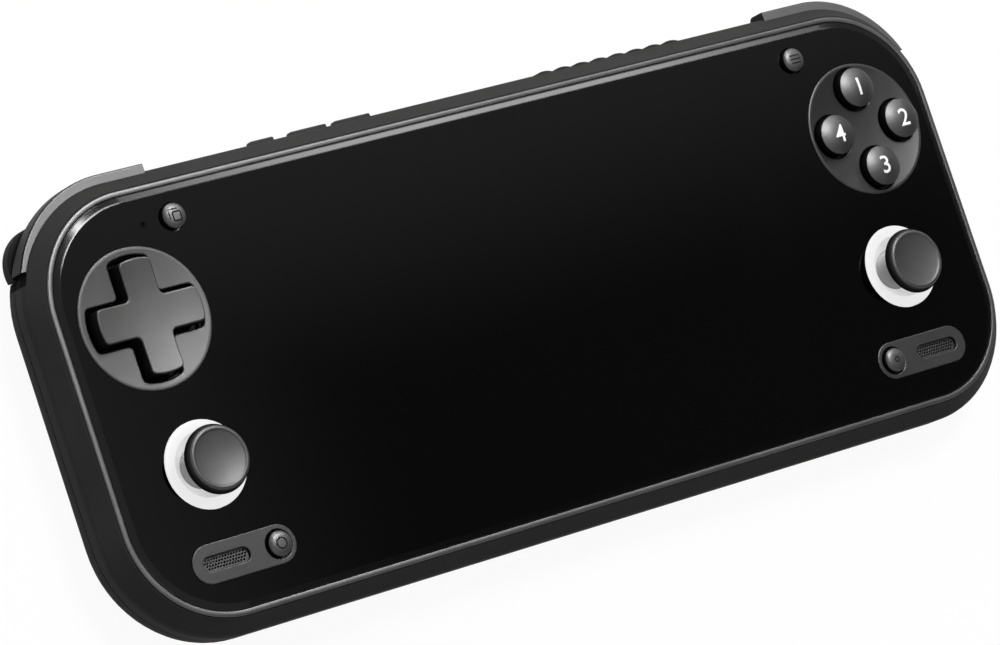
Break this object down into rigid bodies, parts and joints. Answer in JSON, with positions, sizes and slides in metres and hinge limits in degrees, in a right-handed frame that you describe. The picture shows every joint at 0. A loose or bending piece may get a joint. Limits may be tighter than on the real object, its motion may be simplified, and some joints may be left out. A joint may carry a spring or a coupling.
{
  "type": "handheld game console",
  "caption": "Slim handheld game console with a black glass front, cross key, face buttons, lit sticks, speaker slots and shoulder buttons round its corners.",
  "frame": {"origin": "middle of the body on the plane that the rear feet stand on", "axes": "+X along the body to the right as seen from the screen, +Y towards the shoulder buttons, +Z out of the screen"},
  "size_m": [0.249, 0.1041, 0.0237],
  "materials": {
    "shell": "satin moulded, near black",
    "ring_metal": "dark anodised, brushed",
    "cover": "glossy black printed glass",
    "screen": "switched off",
    "frame_metal": "plain",
    "plate_satin": "satin graphite",
    "key_black": "satin",
    "edge_key": "satin",
    "shoulder": "satin",
    "light": "milky light guide, lit",
    "cap_rubber": "fine matt",
    "steel": "plain",
    "gimbal_plastic": "plain",
    "board_green": "solder mask",
    "membrane_rubber": "plain",
    "mesh_metal": "etched sheet, black",
    "copper": "copper, plain",
    "battery_foil": "foil pouch"
  },
  "bodies": {
    "console": {"audio_jack": "gimbal_plastic", "battery": "battery_foil", "bezel_ring": "ring_metal", "button_membrane": "membrane_rubber", "button_plate": "plate_satin", "cover_glass": "cover", "display_panel": "screen", "dpad_membrane": "membrane_rubber", "dpad_plate": "plate_satin", "fan_housing": "gimbal_plastic", "front_shell": "shell", "heat_pipe": "copper", "heat_sink": "frame_metal", "left_control_board": "board_green", "left_light_ring": "light", "left_pill_plate": "plate_satin", "left_speaker": "gimbal_plastic", "left_speaker_mesh": "mesh_metal", "left_stick_module": "gimbal_plastic", "main_board": "board_green", "mid_frame": "frame_metal", "port_board": "board_green", "rear_feet": "membrane_rubber", "rear_shell": "shell", "right_control_board": "board_green", "right_light_ring": "light", "right_pill_plate": "plate_satin", "right_speaker": "gimbal_plastic", "right_speaker_mesh": "mesh_metal", "right_stick_module": "gimbal_plastic", "shell_screws": "steel", "shoulder_pins": "steel", "trigger_springs": "steel", "usb_c_socket": "steel"},
    "dpad_pivot": {"dpad_pivot": "steel"},
    "dpad_key": {"dpad_key": "key_black"},
    "face_button_top": {"face_button_top": "key_black"},
    "face_button_right": {"face_button_right": "key_black"},
    "face_button_bottom": {"face_button_bottom": "key_black"},
    "face_button_left": {"face_button_left": "key_black"},
    "left_upper_button": {"left_upper_button": "key_black"},
    "left_lower_button": {"left_lower_button": "key_black"},
    "right_upper_button": {"right_upper_button": "key_black"},
    "right_lower_button": {"right_lower_button": "key_black"},
    "power_button": {"power_button": "edge_key"},
    "volume_up_button": {"volume_up_button": "edge_key"},
    "volume_down_button": {"volume_down_button": "edge_key"},
    "left_stick_yoke": {"left_stick_yoke": "gimbal_plastic"},
    "left_stick_pivot": {"left_stick_pivot": "gimbal_plastic"},
    "left_stick": {"left_stick_shaft": "steel", "left_stick_cap": "cap_rubber"},
    "right_stick_yoke": {"right_stick_yoke": "gimbal_plastic"},
    "right_stick_pivot": {"right_stick_pivot": "gimbal_plastic"},
    "right_stick": {"right_stick_shaft": "steel", "right_stick_cap": "cap_rubber"},
    "left_bumper": {"left_bumper": "shoulder"},
    "left_trigger": {"left_trigger": "shoulder"},
    "right_bumper": {"right_bumper": "shoulder"},
    "right_trigger": {"right_trigger": "shoulder"},
    "fan_rotor": {"fan_rotor": "gimbal_plastic"}
  },
  "joints": [
    {"name": "dpad_up_down", "type": "hinge", "parent": "console", "child": "dpad_pivot", "pos_m": [-0.1, 0.01937, 0.0122], "axis": [1, 0, 0], "range_deg": [-4, 4], "stiffness_Nm_per_rad": 0.3},
    {"name": "dpad_left_right", "type": "hinge", "parent": "dpad_pivot", "child": "dpad_key", "pos_m": [-0.1, 0.01937, 0.0122], "axis": [0, 1, 0], "range_deg": [-4, 4], "stiffness_Nm_per_rad": 0.3},
    {"name": "face_button_top_press", "type": "slide", "parent": "console", "child": "face_button_top", "axis": [0, 0, 1], "range_m": [-0.0012, 0], "stiffness_N_per_m": 500, "springref_m": 0.0005},
    {"name": "face_button_right_press", "type": "slide", "parent": "console", "child": "face_button_right", "axis": [0, 0, 1], "range_m": [-0.0012, 0], "stiffness_N_per_m": 500, "springref_m": 0.0005},
    {"name": "face_button_bottom_press", "type": "slide", "parent": "console", "child": "face_button_bottom", "axis": [0, 0, 1], "range_m": [-0.0012, 0], "stiffness_N_per_m": 500, "springref_m": 0.0005},
    {"name": "face_button_left_press", "type": "slide", "parent": "console", "child": "face_button_left", "axis": [0, 0, 1], "range_m": [-0.0012, 0], "stiffness_N_per_m": 500, "springref_m": 0.0005},
    {"name": "left_upper_button_press", "type": "slide", "parent": "console", "child": "left_upper_button", "axis": [0, 0, 1], "range_m": [-0.0006, 0], "stiffness_N_per_m": 1000, "springref_m": 0.0003},
    {"name": "left_lower_button_press", "type": "slide", "parent": "console", "child": "left_lower_button", "axis": [0, 0, 1], "range_m": [-0.0006, 0], "stiffness_N_per_m": 1000, "springref_m": 0.0003},
    {"name": "right_upper_button_press", "type": "slide", "parent": "console", "child": "right_upper_button", "axis": [0, 0, 1], "range_m": [-0.0006, 0], "stiffness_N_per_m": 1000, "springref_m": 0.0003},
    {"name": "right_lower_button_press", "type": "slide", "parent": "console", "child": "right_lower_button", "axis": [0, 0, 1], "range_m": [-0.0006, 0], "stiffness_N_per_m": 1000, "springref_m": 0.0003},
    {"name": "power_button_press", "type": "slide", "parent": "console", "child": "power_button", "axis": [0, 1, 0], "range_m": [-0.0005, 0], "stiffness_N_per_m": 1500, "springref_m": 0.0003},
    {"name": "volume_up_button_press", "type": "slide", "parent": "console", "child": "volume_up_button", "axis": [0, 1, 0], "range_m": [-0.0005, 0], "stiffness_N_per_m": 1500, "springref_m": 0.0003},
    {"name": "volume_down_button_press", "type": "slide", "parent": "console", "child": "volume_down_button", "axis": [0, 1, 0], "range_m": [-0.0005, 0], "stiffness_N_per_m": 1500, "springref_m": 0.0003},
    {"name": "left_stick_up_down", "type": "hinge", "parent": "console", "child": "left_stick_yoke", "pos_m": [-0.09687, -0.01427, 0.0088], "axis": [1, 0, 0], "range_deg": [-15, 15], "stiffness_Nm_per_rad": 0.05},
    {"name": "left_stick_left_right", "type": "hinge", "parent": "left_stick_yoke", "child": "left_stick_pivot", "pos_m": [-0.09687, -0.01427, 0.0088], "axis": [0, 1, 0], "range_deg": [-15, 15], "stiffness_Nm_per_rad": 0.05},
    {"name": "left_stick_click", "type": "slide", "parent": "left_stick_pivot", "child": "left_stick", "axis": [0, 0, 1], "range_m": [-0.0004, 0], "stiffness_N_per_m": 4000, "springref_m": 0.0003},
    {"name": "right_stick_up_down", "type": "hinge", "parent": "console", "child": "right_stick_yoke", "pos_m": [0.09687, -0.01427, 0.0088], "axis": [1, 0, 0], "range_deg": [-15, 15], "stiffness_Nm_per_rad": 0.05},
    {"name": "right_stick_left_right", "type": "hinge", "parent": "right_stick_yoke", "child": "right_stick_pivot", "pos_m": [0.09687, -0.01427, 0.0088], "axis": [0, 1, 0], "range_deg": [-15, 15], "stiffness_Nm_per_rad": 0.05},
    {"name": "right_stick_click", "type": "slide", "parent": "right_stick_pivot", "child": "right_stick", "axis": [0, 0, 1], "range_m": [-0.0004, 0], "stiffness_N_per_m": 4000, "springref_m": 0.0003},
    {"name": "left_bumper_press", "type": "hinge", "parent": "console", "child": "left_bumper", "pos_m": [-0.09, 0.0483, 0.0078], "axis": [0, 0, 1], "range_deg": [0, 1.6], "stiffness_Nm_per_rad": 1.5, "springref_deg": -1.15},
    {"name": "left_trigger_pull", "type": "hinge", "parent": "console", "child": "left_trigger", "pos_m": [-0.09, 0.0483, 0.0078], "axis": [0, 0, 1], "range_deg": [0, 3.5], "stiffness_Nm_per_rad": 0.8, "springref_deg": -1.72},
    {"name": "right_bumper_press", "type": "hinge", "parent": "console", "child": "right_bumper", "pos_m": [0.09, 0.0483, 0.0078], "axis": [0, 0, 1], "range_deg": [-1.6, 0], "stiffness_Nm_per_rad": 1.5, "springref_deg": 1.15},
    {"name": "right_trigger_pull", "type": "hinge", "parent": "console", "child": "right_trigger", "pos_m": [0.09, 0.0483, 0.0078], "axis": [0, 0, 1], "range_deg": [-3.5, 0], "stiffness_Nm_per_rad": 0.8, "springref_deg": 1.72},
    {"name": "fan_spin", "type": "hinge", "parent": "console", "child": "fan_rotor", "pos_m": [0.04, 0.0222, 0.0103], "axis": [0, 0, 1], "continuous": true}
  ]
}
